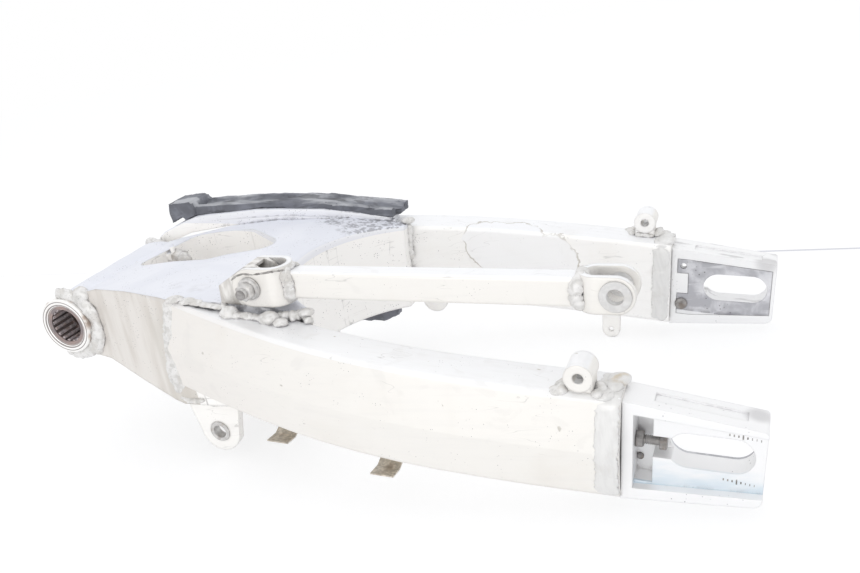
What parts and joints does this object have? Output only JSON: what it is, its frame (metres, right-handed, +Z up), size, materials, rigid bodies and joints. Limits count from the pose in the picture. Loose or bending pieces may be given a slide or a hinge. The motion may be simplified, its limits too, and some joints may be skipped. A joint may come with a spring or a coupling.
{
  "type": "motorcycle swingarm",
  "caption": "Aluminium motorcycle swingarm with pivot tube, cast cross piece, extruded arms, slotted axle ends, chain slider and a hinged brake torque arm",
  "frame": {"origin": "middle of the pivot axis", "axes": "+X towards the axle along the ground it rests on, +Y along the pivot axis towards the chain side, +Z up as it lies on its two lugs and rear ends"},
  "size_m": [0.5943, 0.3056, 0.1727],
  "materials": {
    "cast_aluminium": "cast, satin, grimy in places",
    "aluminium": "extruded, satin",
    "forged_aluminium": "machined and satin, scuffed",
    "weld_metal": "weld bead",
    "plain_steel": "tarnished",
    "oiled_steel": "dark with old grease",
    "worn_rubber": "worn, scored"
  },
  "bodies": {
    "frame": {"adjuster_bolt_brake": "plain_steel", "adjuster_bolt_chain": "plain_steel", "bearing_cup_brake": "plain_steel", "bearing_cup_chain": "plain_steel", "bracket_sleeve": "plain_steel", "brake_side_arm": "aluminium", "brake_side_end": "forged_aluminium", "chain_side_arm": "aluminium", "chain_side_end": "forged_aluminium", "chain_slider": "worn_rubber", "cross_casting": "cast_aluminium", "front_welds_brake": "weld_metal", "front_welds_chain": "weld_metal", "grease_fitting": "plain_steel", "guard_tab_front": "aluminium", "guard_tab_rear": "aluminium", "hose_clip_front": "plain_steel", "hose_clip_rear": "plain_steel", "lock_nut_brake": "plain_steel", "lock_nut_chain": "plain_steel", "lower_rub_strip": "worn_rubber", "lug_brake": "aluminium", "lug_bush_brake": "plain_steel", "lug_bush_chain": "plain_steel", "lug_chain": "aluminium", "pivot_tube": "aluminium", "pivot_welds": "weld_metal", "plate_screw_brake": "plain_steel", "plate_screw_chain": "plain_steel", "rear_welds_brake": "weld_metal", "rear_welds_chain": "weld_metal", "slider_rib": "aluminium", "stand_boss_brake": "aluminium", "stand_boss_chain": "aluminium", "torque_bolt": "plain_steel", "torque_bracket": "aluminium", "torque_nut": "plain_steel", "torque_washer": "plain_steel", "wear_plate_brake": "oiled_steel", "wear_plate_chain": "oiled_steel"},
    "torque_arm": {"torque_bar": "aluminium", "front_clevis": "aluminium", "rear_clevis": "aluminium", "eye_rings": "plain_steel"},
    "rollers_brake": {"needles_brake": "plain_steel"},
    "rollers_chain": {"needles_chain": "plain_steel"}
  },
  "joints": [
    {"name": "torque_arm_pivot", "type": "hinge", "parent": "frame", "child": "torque_arm", "pos_m": [0.22319, -0.09, 0.03918], "axis": [0, -1, 0], "range_deg": [-2, 85]},
    {"name": "rollers_brake_spin", "type": "hinge", "parent": "frame", "child": "rollers_brake", "pos_m": [0, -0.0554, 0], "axis": [0, 1, 0], "continuous": true},
    {"name": "rollers_chain_spin", "type": "hinge", "parent": "frame", "child": "rollers_chain", "pos_m": [0, 0.0554, 0], "axis": [0, 1, 0], "continuous": true}
  ]
}
